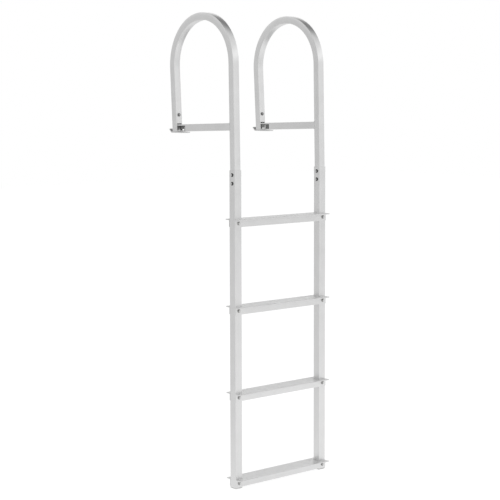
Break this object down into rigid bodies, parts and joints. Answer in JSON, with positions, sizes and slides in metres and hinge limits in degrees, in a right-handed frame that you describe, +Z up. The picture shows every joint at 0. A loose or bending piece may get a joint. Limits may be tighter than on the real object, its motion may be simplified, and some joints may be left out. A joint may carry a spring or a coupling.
{
  "type": "dock ladder",
  "caption": "Aluminium dock ladder: square rails with bolted treads, telescoping arched handrails, braces and dock brackets that hold it at the edge of a dock.",
  "frame": {"origin": "on the underside of the left dock bracket's plate, straight below the foot of the left leg", "axes": "+X along the treads from the left rail to the right rail, +Y from the rails in over the dock, +Z up along the rails"},
  "size_m": [0.441, 0.4088, 1.692],
  "materials": {
    "tubes": "satin",
    "treads": "satin",
    "brackets": "satin",
    "bolts": "satin",
    "latches": "matt",
    "plugs": "matt"
  },
  "bodies": {
    "root": {"left_brace": "tubes", "left_dock_bracket": "brackets", "left_handrail": "tubes", "left_latch": "latches", "left_latch_pin": "bolts", "left_leg_bolt": "bolts", "left_rail": "tubes", "left_rail_plug": "plugs", "left_splice_bolt_lower": "bolts", "left_splice_bolt_upper": "bolts", "right_brace": "tubes", "right_dock_bracket": "brackets", "right_handrail": "tubes", "right_latch": "latches", "right_latch_pin": "bolts", "right_leg_bolt": "bolts", "right_rail": "tubes", "right_rail_plug": "plugs", "right_splice_bolt_lower": "bolts", "right_splice_bolt_upper": "bolts", "tread_1": "treads", "tread_1_bolt_left": "bolts", "tread_1_bolt_right": "bolts", "tread_2": "treads", "tread_2_bolt_left": "bolts", "tread_2_bolt_right": "bolts", "tread_3": "treads", "tread_3_bolt_left": "bolts", "tread_3_bolt_right": "bolts", "tread_4": "treads", "tread_4_bolt_left": "bolts", "tread_4_bolt_right": "bolts"}
  },
  "joints": []
}
